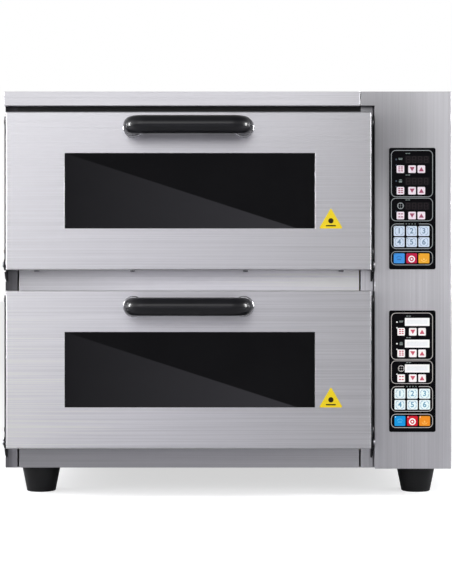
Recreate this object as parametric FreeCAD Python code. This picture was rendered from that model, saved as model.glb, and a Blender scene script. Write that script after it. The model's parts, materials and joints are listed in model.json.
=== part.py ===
"""Double-deck electric countertop pizza oven, as an assembly of separate pieces.

Units are millimetres. +Z is up and the doors face -Y. The origin is on the surface that the oven
stands on, below the middle of its overall box. Each piece is written to parts/NODE.step.

The two decks are alike, so a deck is built once for each of DECKS, from the height of its door's
bottom edge. Across the width, most of a deck is symmetric about DECK_X; a distance from that plane
is called a reach.
"""

import FreeCAD
import Part
import math
import os

V = FreeCAD.Vector

# ---------------------------------------------------------------- driving dimensions
SHEET = 1.0                 # casing sheet
FOOT_HEIGHT = 34.0
BODY_HEIGHT = 472.5
BODY_LEFT, BODY_RIGHT = -280.0, 280.0
COLUMN_FRONT = -217.5       # front face of the control column and of the top rail
FRAME_FRONT = -204.5        # front face of the posts and rails that the doors close against
BACK = 268.0                # rear face of the back panel
DECK_X = -48.5              # middle of the doors and chambers

DOOR_BOTTOMS = {"upper": 282.9, "lower": 60.9}
DOOR_WIDTH, DOOR_HEIGHT = 453.8, 196.2
DOOR_FRONT, DOOR_BACK = -237.5, -206.5
DOOR_SHEET = 1.2
WINDOW_WIDTH, WINDOW_HEIGHT = 310.7, 93.6
WINDOW_SHIFT = 1.6          # the window sits this far to the right of the door's middle
GLASS = 4.0

LABEL_X, LABEL_RISE = 176.6, 51.2   # label's middle from DECK_X, its bottom above the door's
LABEL_WIDTH, LABEL_HEIGHT, LABEL_THICK = 27.8, 24.3, 0.15
LABEL_CORNER = 1.2

PIVOT_RISE = 6.5            # hinge axis above the door's bottom edge
PIVOT_Y = DOOR_BACK - 16.0
PIN_RADIUS = 3.0
PIN_CLEARANCE = 0.05

HANDLE_RADIUS = 11.25
HANDLE_REACH = 68.2         # from the door's middle to each leg's axis
HANDLE_STANDOFF = 38.75     # from the door's face to the bar's axis
HANDLE_BEND = 14.0
HANDLE_RISE = 176.6         # bar's axis above the door's bottom edge
FLANGE_RADIUS, FLANGE_HEIGHT = 13.2, 4.5

CHAMBER_HALF = 205.0        # half the chamber's clear width
CHAMBER_HEIGHT = 150.0
CHAMBER_DEPTH = 410.0
CHAMBER_RISE = 23.0         # chamber floor above the door's bottom edge
LINER = 0.8

STONE_SIDE, STONE_THICK = 400.0, 14.0
STONE_RISE = 34.0           # stone's underside above the chamber floor

POST_INNER, POST_OUTER = 216.5, 231.5   # reaches of the front posts
RAIL_REACH = 214.3
TOP_RAIL_HEIGHT = 17.5
COLUMN_LEFT = 184.4
PANEL_X = 231.4
PANEL_WIDTH, PANEL_HEIGHT, PANEL_THICK = 58.2, 152.2, 0.8
PANEL_CORNER = 2.4
PANEL_MIDDLES = {"upper": 359.9, "lower": 156.2}

FOOT_XS = (-239.6, 242.0)
FOOT_YS = (-162.0, 224.0)
FOOT_TOP_RADIUS, FOOT_BOTTOM_RADIUS = 25.0, 18.2

GLAND_X, GLAND_Z = 236.0, 80.0
GLAND_BORE = 5.5
GLAND_REACH = 19.5          # how far the gland stands out behind the back panel

BASE = FOOT_HEIGHT
TOP = FOOT_HEIGHT + BODY_HEIGHT
FRAME_BACK = FRAME_FRONT + SHEET
COLUMN_BACK = COLUMN_FRONT + SHEET
TOP_RAIL_BOTTOM = TOP - TOP_RAIL_HEIGHT
PARTITION_LEFT = DECK_X + POST_OUTER - SHEET
PARTITION_RIGHT = DECK_X + POST_OUTER
CHAMBER_FRONT = FRAME_BACK + LINER
CHAMBER_BACK = CHAMBER_FRONT + CHAMBER_DEPTH


# ---------------------------------------------------------------- helpers
def box(x0, x1, y0, y1, z0, z1):
    return Part.makeBox(x1 - x0, y1 - y0, z1 - z0, V(x0, y0, z0))


def cylinder(radius, length, start, direction):
    return Part.makeCylinder(radius, length, V(*start), V(*direction))


def joined(shapes):
    return shapes[0].multiFuse(shapes[1:]).removeSplitter() if len(shapes) > 1 else shapes[0]


def group(shapes):
    return Part.makeCompound(shapes)


def cut(shape, tools):
    return shape.cut(Part.makeCompound(tools)) if tools else shape


def rounded_plate(x0, x1, z0, z1, y0, y1, radius):
    """A plate in the XZ plane with round corners, from y0 to y1."""
    plate = box(x0, x1, y0, y1, z0, z1)
    corners = [e for e in plate.Edges if abs(e.tangentAt(e.FirstParameter).y) > 0.99]
    return plate.makeFillet(radius, corners)


def slot_tool(centre, along, through, length, width, depth):
    """A round-ended slot: its length runs along one axis and it is cut through along another."""
    c, a, t = V(*centre), V(*along), V(*through)
    side = t.cross(a)
    half = (length - width) / 2
    corners = [c + a * (half * i) + side * (width / 2 * j) - t * (depth / 2)
               for i, j in ((-1, -1), (1, -1), (1, 1), (-1, 1))]
    middle = Part.Face(Part.makePolygon(corners + corners[:1])).extrude(t * depth)
    ends = [Part.makeCylinder(width / 2, depth, c + a * (half * i) - t * (depth / 2), t)
            for i in (-1, 1)]
    return joined([middle] + ends)


def swept_round(radius, edges, start, direction, frenet=False):
    """A round bar along a path of tangent lines and arcs, or along a helix."""
    profile = Part.Wire(Part.makeCircle(radius, V(*start), V(*direction)))
    return Part.Solid(Part.Wire(edges).makePipeShell([profile], True, frenet))


def line(a, b):
    return Part.LineSegment(V(*a), V(*b)).toShape()


def arc(a, middle, b):
    return Part.Arc(V(*a), V(*middle), V(*b)).toShape()


def save(name, shape):
    shape.exportStep(f"parts/{name}.step")


# ---------------------------------------------------------------- fasteners
SHANK_RADIUS = 1.6


def pan_screw(place, outward, head_radius=3.4, head_height=1.9, shank=4.0):
    """A cross-recessed pan-head screw: its head sits on place and points outward."""
    head = Part.makeCylinder(head_radius, head_height)
    rim = [e for e in head.Edges if abs(e.BoundBox.ZMin - head_height) < 1e-6 and e.Closed]
    head = head.makeFillet(head_height * 0.45, rim[:1])
    arm = head_radius * 0.95
    recess = [box(-arm / 2, arm / 2, -0.4, 0.4, head_height * 0.5, head_height + 1),
              box(-0.4, 0.4, -arm / 2, arm / 2, head_height * 0.5, head_height + 1)]
    body = joined([cut(head, recess), Part.makeCylinder(SHANK_RADIUS, shank, V(0, 0, -shank))])
    body.Placement = FreeCAD.Placement(V(*place), FreeCAD.Rotation(V(0, 0, 1), V(*outward)))
    return body


def shank_hole(place, outward, depth=6.0):
    """The clearance hole that a pan screw at the same place needs."""
    o = V(*outward)
    return Part.makeCylinder(SHANK_RADIUS, depth + 1, V(*place) + o, o * -1)


def casing_screw_places():
    """(place, outward direction) of each screw that holds a casing panel."""
    places = []
    for y in (-150.0, 25.0, 200.0):
        for z in (BASE + 9, TOP - 9):
            places.append(((BODY_LEFT, y, z), (-1, 0, 0)))
            places.append(((BODY_RIGHT, y, z), (1, 0, 0)))
    for x in (BODY_LEFT + 18, BODY_LEFT + 150, DECK_X, 90.0, BODY_RIGHT - 18):
        for z in (BASE + 9, TOP - 9):
            places.append(((x, BACK, z), (0, 1, 0)))
    return places


SCREW_PLACES = casing_screw_places()
SCREW_HOLES = [shank_hole(p, o) for p, o in SCREW_PLACES]


# ---------------------------------------------------------------- casing
def tray_flanges(z0, z1):
    """Flanges along a tray's left, right and rear edges, just inside the outer panels."""
    left, right, back = BODY_LEFT + SHEET, BODY_RIGHT - SHEET, BACK - SHEET
    front = BRACKET_TAIL + 4    # they stop short of the hinge brackets
    return [box(left, left + SHEET, front, back - 12, z0, z1),
            box(right - SHEET, right, front, back - 12, z0, z1),
            box(left + 12, right - 12, back - SHEET, back, z0, z1)]


def base_plate():
    left, right = BODY_LEFT + SHEET, BODY_RIGHT - SHEET
    flat = [box(left, right, FRAME_BACK, BACK - SHEET, BASE, BASE + 1.2),
            box(COLUMN_LEFT + SHEET, right, COLUMN_BACK, FRAME_BACK, BASE, BASE + 1.2)]
    plate = joined(flat + tray_flanges(BASE + 1.2, BASE + 16))
    vents = [slot_tool((PANEL_X, y, BASE + 0.6), (1, 0, 0), (0, 0, 1), 56, 5, 6)
             for y in range(-120, 121, 20)]
    bolts = [cylinder(3.2, 10, (x, y, BASE - 4), (0, 0, 1)) for x in FOOT_XS for y in FOOT_YS]
    return cut(plate, vents + bolts + SCREW_HOLES)


def side_panel(x0, y0, slots):
    panel = box(x0, x0 + SHEET, y0, BACK - SHEET, BASE, TOP - SHEET)
    return cut(panel, slots + SCREW_HOLES)


def compartment_slots():
    """Cooling slots in the right side panel, two banks, one beside each deck's controls."""
    return [slot_tool((BODY_RIGHT - SHEET / 2, y, z0 + 14 * row), (0, 1, 0), (1, 0, 0), 64, 5, 6)
            for z0 in (96.0, 316.0) for row in range(8) for y in (-90.0, 0.0, 90.0)]


def top_cover():
    flat = box(BODY_LEFT, BODY_RIGHT, COLUMN_BACK, BACK, TOP - SHEET, TOP)
    return cut(joined([flat] + tray_flanges(TOP - 16, TOP - SHEET)), SCREW_HOLES)


def back_panel():
    panel = box(BODY_LEFT, BODY_RIGHT, BACK - SHEET, BACK, BASE, TOP - SHEET)
    slots = [slot_tool((x, BACK - SHEET / 2, z0 + 14 * row), (1, 0, 0), (0, 1, 0), 64, 5, 6)
             for x in (-190.0, -90.0, 10.0, 110.0) for z0 in (424.0, 204.0) for row in range(4)]
    slots += [slot_tool((GLAND_X, BACK - SHEET / 2, z), (1, 0, 0), (0, 1, 0), 56, 5, 6)
              for z in range(300, 461, 14)]
    gland = cylinder(9.0, 6, (GLAND_X, BACK - 3, GLAND_Z), (0, 1, 0))
    return cut(panel, slots + [gland] + SCREW_HOLES)


def partition():
    """The wall between the chambers and the electrical compartment."""
    wall = box(PARTITION_LEFT, PARTITION_RIGHT, FRAME_BACK, BACK - SHEET - SHEET, BASE + 1.2, TOP - SHEET)
    flange = box(PARTITION_RIGHT, PARTITION_RIGHT + 12, -150, 240, BASE + 1.2, BASE + 2.2)
    return cut(joined([wall, flange]), wall_passages())


# ---------------------------------------------------------------- front frame
def top_rail():
    """The apron above the upper door: face, underside and left end."""
    right = DECK_X + RAIL_REACH + 0.2
    return joined([box(BODY_LEFT, right, COLUMN_FRONT, COLUMN_BACK, TOP_RAIL_BOTTOM, TOP),
                   box(BODY_LEFT, right, COLUMN_BACK, FRAME_FRONT, TOP_RAIL_BOTTOM,
                       TOP_RAIL_BOTTOM + SHEET),
                   box(BODY_LEFT, BODY_LEFT + SHEET, COLUMN_BACK, FRAME_FRONT,
                       TOP_RAIL_BOTTOM + SHEET, TOP - SHEET)])


def front_rail(z0, z1, return_z0, return_z1, reach=RAIL_REACH):
    """A flat rail between the posts, with its two ends folded back."""
    pieces = [box(DECK_X - reach, DECK_X + reach, FRAME_FRONT, FRAME_BACK, z0, z1)]
    for side in (-1, 1):
        x = sorted((DECK_X + side * reach, DECK_X + side * (reach - SHEET)))
        pieces.append(box(x[0], x[1], FRAME_BACK, FRAME_BACK + 11, return_z0, return_z1))
    return joined(pieces)


def header():
    """The black sheet above the upper chamber, seen in the gap over the upper door."""
    reach = POST_INNER - 0.2
    bottom = DOOR_BOTTOMS["upper"] + CHAMBER_RISE + CHAMBER_HEIGHT
    return box(DECK_X - reach, DECK_X + reach, FRAME_FRONT, FRAME_BACK, bottom, TOP - SHEET)


def front_post(side):
    """An angle: a front face, and a leg folded back along the chamber side. Its two slots let
    the hinge brackets through."""
    outer, inner = DECK_X + side * POST_OUTER, DECK_X + side * POST_INNER
    leg = sorted((inner, inner + side * SHEET))
    face = sorted((inner, outer))
    post = joined([box(face[0], face[1], FRAME_FRONT, FRAME_BACK, BASE, TOP - SHEET),
                   box(leg[0], leg[1], FRAME_BACK, FRAME_BACK + 13, BASE + 18, TOP - 18)])
    slots = []
    for bottom in DOOR_BOTTOMS.values():
        x = sorted((DECK_X + side * (BRACKET_INNER - 0.2), outer + side))
        slots.append(box(x[0], x[1], FRAME_FRONT - 1, FRAME_BACK + 1,
                         bottom - BRACKET_DROP - 0.2, bottom + PIVOT_RISE + BRACKET_NOSE + 0.2))
    return cut(post, slots)


def column_front():
    """The control column's face, with its arm over the right post and its left edge folded back."""
    arm_left = DECK_X + RAIL_REACH + 1.2
    face = [box(COLUMN_LEFT, BODY_RIGHT, COLUMN_FRONT, COLUMN_BACK, BASE, TOP),
            box(arm_left, COLUMN_LEFT, COLUMN_FRONT, COLUMN_BACK, TOP_RAIL_BOTTOM, TOP),
            box(arm_left, COLUMN_LEFT, COLUMN_BACK, FRAME_FRONT, TOP_RAIL_BOTTOM,
                TOP_RAIL_BOTTOM + SHEET),
            box(COLUMN_LEFT, COLUMN_LEFT + SHEET, COLUMN_BACK, -180, BASE + 1.2, TOP - SHEET),
            box(COLUMN_LEFT + SHEET, COLUMN_LEFT + 14, -180 - SHEET, -180, BASE + 20, TOP - 20)]
    windows = [box(PANEL_X - 24, PANEL_X + 24, COLUMN_FRONT - 1, COLUMN_BACK + 1, z - 70, z + 70)
               for z in PANEL_MIDDLES.values()]
    return cut(joined(face), windows)


# ---------------------------------------------------------------- chambers
def chamber_floor(bottom):
    return bottom + CHAMBER_RISE


def chamber_ceiling(bottom):
    return bottom + CHAMBER_RISE + CHAMBER_HEIGHT


ELEMENT_RADIUS = 4.0
ELEMENT_FROM_WALL = 14.0    # element axis from the chamber's floor or ceiling
ELEMENT_RUNS = 6
ELEMENT_PITCH = 60.0
ELEMENT_TURN_REACH = 150.0  # reach at which each turn starts
ELEMENT_END_REACH = 246.0   # reach of the terminals, in the electrical compartment
PROBE_RADIUS = 2.5
PROBE_FROM_CEILING = 6.0
PROBE_ABOVE_FLOOR = 25.0
PROBE_LENGTH = 60.0
LAMP_REACH, LAMP_RISE, LAMP_RADIUS = -150.0, 112.0, 17.0


def element_levels(bottom):
    return chamber_ceiling(bottom) - ELEMENT_FROM_WALL, chamber_floor(bottom) + ELEMENT_FROM_WALL


def element_ends():
    middle = (CHAMBER_FRONT + CHAMBER_BACK) / 2
    half = ELEMENT_PITCH * (ELEMENT_RUNS - 1) / 2
    return middle + half, middle - half


def heating_element(z):
    """One tubular element: parallel runs joined by half turns, both ends out at the right."""
    y = element_ends()[0]
    reach, turn = ELEMENT_TURN_REACH, ELEMENT_PITCH / 2
    end = DECK_X + ELEMENT_END_REACH
    edges, x = [], end
    for run in range(ELEMENT_RUNS):
        side = -1 if run % 2 == 0 else 1
        last = run == ELEMENT_RUNS - 1
        stop = end if last else DECK_X + side * reach
        edges.append(line((x, y, z), (stop, y, z)))
        if not last:
            edges.append(arc((stop, y, z), (stop + side * turn, y - turn, z),
                             (stop, y - 2 * turn, z)))
            x, y = stop, y - 2 * turn
    rod = swept_round(ELEMENT_RADIUS, edges, (end, element_ends()[0], z), (-1, 0, 0))
    ends = []
    for y in element_ends():
        ends.append(cylinder(7.0, 4.0, (PARTITION_RIGHT, y, z), (1, 0, 0)))
        ends.append(cylinder(1.8, 12.0, (end, y, z), (1, 0, 0)))
    return joined([rod] + ends)


def probe_levels(bottom):
    return chamber_ceiling(bottom) - PROBE_FROM_CEILING, chamber_floor(bottom) + PROBE_ABOVE_FLOOR


def probe_y():
    return (CHAMBER_FRONT + CHAMBER_BACK) / 2


def wall_passages():
    """Holes that the elements and probes need through the chamber's right-hand walls."""
    holes = []
    start = DECK_X + CHAMBER_HALF - 2
    for bottom in DOOR_BOTTOMS.values():
        for z in element_levels(bottom):
            holes += [cylinder(ELEMENT_RADIUS + 0.6, 40, (start, y, z), (1, 0, 0))
                      for y in element_ends()]
        holes += [cylinder(PROBE_RADIUS + 0.5, 40, (start, probe_y(), z), (1, 0, 0))
                  for z in probe_levels(bottom)]
    return holes


def lamp_place(bottom):
    return DECK_X + LAMP_REACH, chamber_floor(bottom) + LAMP_RISE


def lamp_hole(bottom, radius):
    x, z = lamp_place(bottom)
    return cylinder(radius, 60, (x, CHAMBER_BACK - 2, z), (0, 1, 0))


def chamber_liner(bottom):
    """Five sheets and a four-strip front flange, spot-welded to one another."""
    floor, ceiling = chamber_floor(bottom), chamber_ceiling(bottom)
    left, right = DECK_X - CHAMBER_HALF, DECK_X + CHAMBER_HALF
    rear = CHAMBER_BACK + LINER
    low, high = floor - 11, ceiling + 11
    flange_left, flange_right = DECK_X - POST_INNER + 0.2, DECK_X + POST_INNER - 0.2
    sheets = [box(left - LINER, right + LINER, CHAMBER_FRONT, rear, floor - LINER, floor),
              box(left - LINER, right + LINER, CHAMBER_FRONT, rear, ceiling, ceiling + LINER),
              box(left - LINER, left, CHAMBER_FRONT, rear, floor, ceiling),
              cut(box(right, right + LINER, CHAMBER_FRONT, rear, floor, ceiling), wall_passages()),
              cut(box(left, right, CHAMBER_BACK, rear, floor, ceiling), [lamp_hole(bottom, LAMP_RADIUS)]),
              box(flange_left, left, FRAME_BACK, CHAMBER_FRONT, low, high),
              box(right, flange_right, FRAME_BACK, CHAMBER_FRONT, low, high),
              box(left, right, FRAME_BACK, CHAMBER_FRONT, low, floor),
              box(left, right, FRAME_BACK, CHAMBER_FRONT, ceiling, high)]
    return group(sheets)


def insulation():
    """Mineral-wool blankets round the chambers."""
    lower, upper = DOOR_BOTTOMS["lower"], DOOR_BOTTOMS["upper"]
    left, right = DECK_X - CHAMBER_HALF + 1, DECK_X + CHAMBER_HALF - 1
    y0, y1 = CHAMBER_FRONT + 13, CHAMBER_BACK
    gap = LINER + 0.4
    flat = [box(left, right, y0, y1, chamber_floor(lower) - gap - 25, chamber_floor(lower) - gap),
            box(left, right, y0, y1, chamber_ceiling(lower) + gap, chamber_ceiling(lower) + gap + 40),
            box(left, right, y0, y1, chamber_ceiling(upper) + gap, chamber_ceiling(upper) + gap + 25)]
    inner, outer = CHAMBER_HALF + gap, CHAMBER_HALF + gap + 18
    z0, z1 = BASE + 18, TOP - 18
    left_side = box(DECK_X - outer, DECK_X - inner, -170, y1, z0, z1)
    right_side = cut(box(DECK_X + inner, DECK_X + outer, -170, y1, z0, z1), wall_passages())
    rear = cut(box(left, right, CHAMBER_BACK + gap, CHAMBER_BACK + gap + 25, z0, z1),
               [lamp_hole(b, LAMP_RADIUS + 1) for b in DOOR_BOTTOMS.values()])
    return group(flat + [left_side, right_side, rear])


def deck_stone(bottom):
    """The baking stone, with a small round on its upper and lower edges."""
    z = chamber_floor(bottom) + STONE_RISE
    y = CHAMBER_FRONT + 6
    half = STONE_SIDE / 2
    slab = box(DECK_X - half, DECK_X + half, y, y + STONE_SIDE, z, z + STONE_THICK)
    return slab.makeFillet(2.0, slab.Edges)


def stone_ledge(bottom, side):
    """An angle on the chamber's side wall that carries the stone."""
    top = chamber_floor(bottom) + STONE_RISE
    wall = DECK_X + side * CHAMBER_HALF
    shelf = sorted((wall, wall - side * 14))
    leg = sorted((wall, wall - side * 1.5))
    y0, y1 = CHAMBER_FRONT + 14, CHAMBER_BACK - 14
    angle = joined([box(shelf[0], shelf[1], y0, y1, top - 1.5, top),
                    box(leg[0], leg[1], y0, y1, top - 13, top - 1.5)])
    return cut(angle, wall_passages_inside(bottom))


def wall_passages_inside(bottom):
    z = chamber_floor(bottom) + PROBE_ABOVE_FLOOR
    return [cylinder(PROBE_RADIUS + 0.8, 30, (DECK_X + CHAMBER_HALF - 20, probe_y(), z), (1, 0, 0))]


def temperature_probe(z):
    start = DECK_X + CHAMBER_HALF - PROBE_LENGTH
    length = ELEMENT_END_REACH - CHAMBER_HALF + PROBE_LENGTH - 6
    rod = cylinder(PROBE_RADIUS, length, (start, probe_y(), z), (1, 0, 0))
    tip = Part.makeSphere(PROBE_RADIUS, V(start, probe_y(), z))
    nut = cylinder(5.5, 5.0, (PARTITION_RIGHT, probe_y(), z), (1, 0, 0))
    return joined([rod, tip, nut])


def lamp_glass(bottom):
    """A round glass cap over the lamp, its rim against the chamber's rear wall."""
    x, z = lamp_place(bottom)
    rim = cylinder(LAMP_RADIUS + 3, 2.5, (x, CHAMBER_BACK - 2.5, z), (0, 1, 0))
    cup = cylinder(LAMP_RADIUS - 0.3, 12, (x, CHAMBER_BACK, z), (0, 1, 0))
    hollow = cylinder(LAMP_RADIUS - 3, 14, (x, CHAMBER_BACK, z), (0, 1, 0))
    return cut(joined([rim, cup]), [hollow])


def lamp_bulb(bottom):
    """A pin-base halogen bulb in its ceramic holder, behind the glass cap."""
    x, z = lamp_place(bottom)
    holder = cylinder(13, 16, (x, CHAMBER_BACK + 26, z), (0, 1, 0))
    neck = cylinder(6, 10, (x, CHAMBER_BACK + 16, z), (0, 1, 0))
    envelope = Part.makeSphere(7.5, V(x, CHAMBER_BACK + 12, z))
    return joined([holder, neck, envelope])


# ---------------------------------------------------------------- feet
def foot(x, y):
    """A tapered rubber foot with a counterbore from below for its screw."""
    cone = Part.makeCone(FOOT_BOTTOM_RADIUS, FOOT_TOP_RADIUS, FOOT_HEIGHT, V(x, y, 0))
    rim = [e for e in cone.Edges if e.Closed and e.BoundBox.ZMax < 1e-3]
    cone = cone.makeFillet(2.2, rim[:1])
    return cut(cone, [cylinder(7.5, 12, (x, y, 0), (0, 0, 1)), cylinder(3.2, 40, (x, y, 0), (0, 0, 1))])


def foot_screw(x, y):
    shank = cylinder(3.1, 28, (x, y, 12), (0, 0, 1))
    head = cylinder(5.5, 4, (x, y, 8), (0, 0, 1))
    nut = cylinder(5.5, 5, (x, y, BASE + 1.2), (0, 0, 1))
    return joined([head, shank, nut])


# ---------------------------------------------------------------- controls
def keypad_overlay(middle):
    half = PANEL_WIDTH / 2
    return rounded_plate(PANEL_X - half, PANEL_X + half, middle - PANEL_HEIGHT / 2,
                         middle + PANEL_HEIGHT / 2, COLUMN_FRONT - PANEL_THICK, COLUMN_FRONT, PANEL_CORNER)


def control_board(middle):
    """The circuit board behind a keypad: board, three display blocks, buzzer and four spacers."""
    y = COLUMN_BACK + 11
    board = box(PANEL_X - 30, PANEL_X + 30, y, y + 1.6, middle - 78, middle + 78)
    holes, spacers = [], []
    for x in (PANEL_X - 27, PANEL_X + 27):
        for z in (middle - 74, middle + 74):
            spacers.append(cylinder(2.5, 11, (x, COLUMN_BACK, z), (0, 1, 0)))
            holes.append(cylinder(1.6, 6, (x, y - 2, z), (0, 1, 0)))
    displays = [box(PANEL_X - 13, PANEL_X + 18.5, y - 8, y, middle + rise, middle + rise + 11)
                for rise in (55.5, 28.5, -2.5)]
    buzzer = cylinder(6, 8, (PANEL_X + 16, y + 1.6, middle - 50), (0, 1, 0))
    plug = box(PANEL_X - 20, PANEL_X + 4, y + 1.6, y + 10, middle - 70, middle - 60)
    return group([cut(board, holes)] + spacers + displays + [buzzer, plug])


RELAY_LEVELS = (156.5, 386.5)


def power_relay(y, z):
    """A power relay on the partition: body, base and two blade terminals."""
    x = PARTITION_RIGHT
    body = joined([box(x, x + 3, y - 20, y + 20, z - 16, z + 16),
                   box(x + 3, x + 27, y - 15, y + 15, z - 14, z + 14)])
    blades = [box(x + 27, x + 34, y + dy - 3, y + dy + 3, z - 0.4, z + 0.4) for dy in (-8, 8)]
    return joined([body] + blades)


def terminal_block():
    """A six-way mains terminal block on the base, beside the cable gland."""
    x0, y0, z0 = 203.0, 188.0, BASE + 1.2
    body = box(x0, x0 + 66, y0, y0 + 24, z0, z0 + 20)
    pockets = []
    for way in range(6):
        x = x0 + 8 + 10 * way
        pockets += [cylinder(3.2, 8, (x, y0 + y, z0 + 14), (0, 0, 1)) for y in (7, 17)]
    return cut(body, pockets)


THERMOSTAT_LEVELS = (245.5, 467.5)


def limit_thermostat(z):
    """A manual-reset high-limit thermostat: a disc on the partition with two blades."""
    x, y = PARTITION_RIGHT, 150.0
    body = joined([cylinder(11, 2, (x, y, z), (1, 0, 0)), cylinder(8.5, 12, (x + 2, y, z), (1, 0, 0))])
    blades = [box(x + 14, x + 22, y + dy - 3, y + dy + 3, z - 0.4, z + 0.4) for dy in (-5, 5)]
    return joined([body] + blades)


def cable_gland():
    """The mains inlet: a nylon gland with its lock nut inside the back panel."""
    axis = (0, 1, 0)
    at = lambda y: (GLAND_X, y, GLAND_Z)
    shell = joined([cylinder(11, 6, at(BACK - SHEET - 6), axis), cylinder(9, SHEET, at(BACK - SHEET), axis),
                    hexagon(24, 7, BACK), cylinder(10.5, GLAND_REACH - 7, at(BACK + 7), axis)])
    mouth = [e for e in shell.Edges if e.Closed and abs(e.BoundBox.YMin - BACK - GLAND_REACH) < 1e-4]
    shell = shell.makeFillet(3.0, mouth[:1])
    return cut(shell, [cylinder(GLAND_BORE, 60, at(BACK - 30), axis)])


def hexagon(across, height, y0):
    radius = across / 2 / math.cos(math.pi / 6)
    turns = [math.pi / 3 * i for i in range(7)]
    points = [V(GLAND_X + radius * math.cos(a), y0, GLAND_Z + radius * math.sin(a)) for a in turns]
    return Part.Face(Part.makePolygon(points)).extrude(V(0, height, 0))


LOOM_X, LOOM_Y, LOOM_BEND = 222.0, 188.0 + 12, 18.0


def wiring_loom():
    """The sleeved loom from the terminal block up the compartment, with a branch to each board."""
    z0, z1 = BASE + 21.2, PANEL_MIDDLES["upper"] - 65
    front = COLUMN_BACK + 21
    corner = LOOM_BEND * (1 - math.sqrt(0.5))
    trunk = [line((LOOM_X, LOOM_Y, z0), (LOOM_X, LOOM_Y, z1 - LOOM_BEND)),
             arc((LOOM_X, LOOM_Y, z1 - LOOM_BEND), (LOOM_X, LOOM_Y - corner, z1 - corner),
                 (LOOM_X, LOOM_Y - LOOM_BEND, z1)),
             line((LOOM_X, LOOM_Y - LOOM_BEND, z1), (LOOM_X, front, z1))]
    main = swept_round(4.0, trunk, (LOOM_X, LOOM_Y, z0), (0, 0, 1))
    branch = cylinder(3.0, LOOM_Y - front, (LOOM_X, LOOM_Y, PANEL_MIDDLES["lower"] - 65), (0, -1, 0))
    return joined([main, branch])


# ---------------------------------------------------------------- hinges
ARM_INNER, ARM_OUTER = DOOR_WIDTH / 2, DOOR_WIDTH / 2 + 1.7
ARM_SETBACK = 1.8           # the arms' front edges, behind the door's face
BRACKET_INNER, BRACKET_OUTER = 229.0, POST_OUTER - SHEET
BRACKET_DROP = 14.0         # below the door's bottom edge
BRACKET_NOSE = 7.0          # radius round the pivot
BRACKET_TAIL = -172.0
EAR_BACK, EAR_THICK, EAR_REACH = FRAME_FRONT - 2.0, 1.5, 232.4
PIN_HEAD_RADIUS, PIN_HEAD_REACH = 4.2, 232.4
PIN_INNER = 206.0
PIN_COLLAR_RADIUS, PIN_COLLAR = 4.8, 2.0
SPRING_WIRE, SPRING_MEAN = 1.4, 4.2
SPRING_PITCH, SPRING_TURNS = 1.6, 7
SPRING_LEG, SPRING_LEG_LEAN = 30.0, 35.0    # the leg's length, and its lean from upright


def along_x(side, near, far):
    """The two x values of a span of reaches on one side, in order."""
    return sorted((DECK_X + side * near, DECK_X + side * far))


def bracket_ear(bottom, side):
    """The bracket's outward-bent ear, seen below the door's corner; it narrows downwards."""
    outline = ((BRACKET_INNER, -1.0), (EAR_REACH, -2.5), (EAR_REACH - 0.8, -10.0),
               (BRACKET_INNER + 1.2, -BRACKET_DROP), (BRACKET_INNER, -BRACKET_DROP))
    points = [V(DECK_X + side * reach, EAR_BACK - EAR_THICK, bottom + z) for reach, z in outline]
    return Part.Face(Part.makePolygon(points + points[:1])).extrude(V(0, EAR_THICK, 0))


def hinge_bracket(bottom, side):
    """A plate on the side wall, through the post, whose round nose carries the hinge pin."""
    x0, x1 = along_x(side, BRACKET_INNER, BRACKET_OUTER)
    pivot = bottom + PIVOT_RISE
    nose = cylinder(BRACKET_NOSE, x1 - x0, (x0, PIVOT_Y, pivot), (1, 0, 0))
    bar = box(x0, x1, PIVOT_Y, BRACKET_TAIL, pivot - BRACKET_NOSE, pivot + BRACKET_NOSE)
    heel = box(x0, x1, EAR_BACK, BRACKET_TAIL, bottom - BRACKET_DROP, pivot - BRACKET_NOSE)
    plate = joined([nose, bar, heel, bracket_ear(bottom, side)])
    return cut(plate, [cylinder(PIN_RADIUS, 20, (x0 - 10, PIVOT_Y, pivot), (1, 0, 0))])


def hinge_pin(bottom, side):
    """A pin fixed in its bracket: a domed head outside, and a collar inside that keeps the spring."""
    pivot = bottom + PIVOT_RISE
    x0, x1 = along_x(side, PIN_INNER, BRACKET_OUTER)
    shaft = cylinder(PIN_RADIUS, x1 - x0, (x0, PIVOT_Y, pivot), (1, 0, 0))
    head_at = (DECK_X + side * BRACKET_OUTER, PIVOT_Y, pivot)
    head_height = PIN_HEAD_REACH - BRACKET_OUTER
    head = Part.makeCone(PIN_HEAD_RADIUS, PIN_HEAD_RADIUS - 1.2, head_height, V(*head_at), V(side, 0, 0))
    c0, c1 = along_x(side, PIN_INNER, PIN_INNER + PIN_COLLAR)
    collar = cylinder(PIN_COLLAR_RADIUS, c1 - c0, (c0, PIVOT_Y, pivot), (1, 0, 0))
    return joined([shaft, head, collar])


def hinge_spring(bottom, side):
    """A torsion spring round the pin, inside the door. Its leg leans on the door's inner panel and
    pulls the door shut."""
    start = V(SPRING_MEAN, 0, 0)
    helix = Part.makeHelix(SPRING_PITCH, SPRING_PITCH * SPRING_TURNS, SPRING_MEAN)
    coil = swept_round(SPRING_WIRE / 2, helix.Edges, start, (0, 1, 0), frenet=True)
    leg = Part.makeCylinder(SPRING_WIRE / 2, SPRING_LEG, start, V(0, -1, 0))
    spring = joined([coil, leg])
    near = PIN_INNER + PIN_COLLAR + SPRING_WIRE
    x0 = along_x(side, near, near + SPRING_PITCH * SPRING_TURNS)[0]
    upright = FreeCAD.Rotation(V(0, 0, 1), V(1, 0, 0))
    lean = FreeCAD.Rotation(V(1, 0, 0), 270 - SPRING_LEG_LEAN)
    spring.Placement = FreeCAD.Placement(V(x0, PIVOT_Y, bottom + PIVOT_RISE), lean.multiply(upright))
    return spring


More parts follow.
